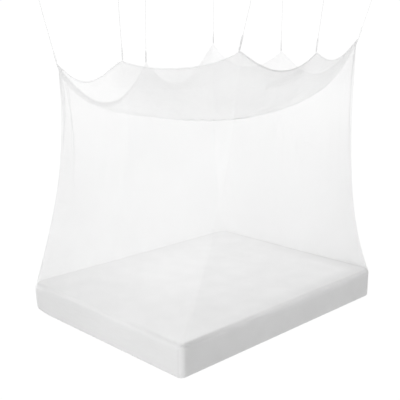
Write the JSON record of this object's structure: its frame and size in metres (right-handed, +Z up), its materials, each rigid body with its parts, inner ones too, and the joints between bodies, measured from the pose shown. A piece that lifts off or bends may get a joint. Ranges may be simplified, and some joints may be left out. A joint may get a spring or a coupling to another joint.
{
  "type": "mosquito net canopy over a mattress",
  "caption": "Box mosquito net with a slack roof and draped side panels, hung from cords on tape loops and tucked under a plain mattress.",
  "frame": {"origin": "on the floor plane under the middle of the mattress", "axes": "+Z up to the ceiling hooks, +Y along the mattress to the head end, +X across it to the right seen from the foot"},
  "size_m": [1.786, 2, 2.25],
  "materials": {
    "net": "sheer white knitted net",
    "tape": "woven white binding tape",
    "loop_tape": "woven white tape loops",
    "cord": "thin twisted white cord",
    "hook_metal": "satin",
    "ticking": "plain white woven cover"
  },
  "bodies": {
    "root": {"wall_foot": "net", "wall_right": "net", "wall_head": "net", "wall_left": "net", "roof_panel": "net", "edge_tape": "tape", "mattress": "ticking", "loop_foot_left": "loop_tape", "loop_foot_mid": "loop_tape", "loop_foot_right": "loop_tape", "loop_right_mid": "loop_tape", "loop_head_right": "loop_tape", "loop_head_mid": "loop_tape", "loop_head_left": "loop_tape", "loop_left_mid": "loop_tape", "cord_foot_left": "cord", "cord_foot_mid": "cord", "cord_foot_right": "cord", "cord_right_mid": "cord", "cord_head_right": "cord", "cord_head_mid": "cord", "cord_head_left": "cord", "cord_left_mid": "cord", "hook_foot_left": "hook_metal", "hook_foot_mid": "hook_metal", "hook_foot_right": "hook_metal", "hook_right_mid": "hook_metal", "hook_head_right": "hook_metal", "hook_head_mid": "hook_metal", "hook_head_left": "hook_metal", "hook_left_mid": "hook_metal"}
  },
  "joints": []
}
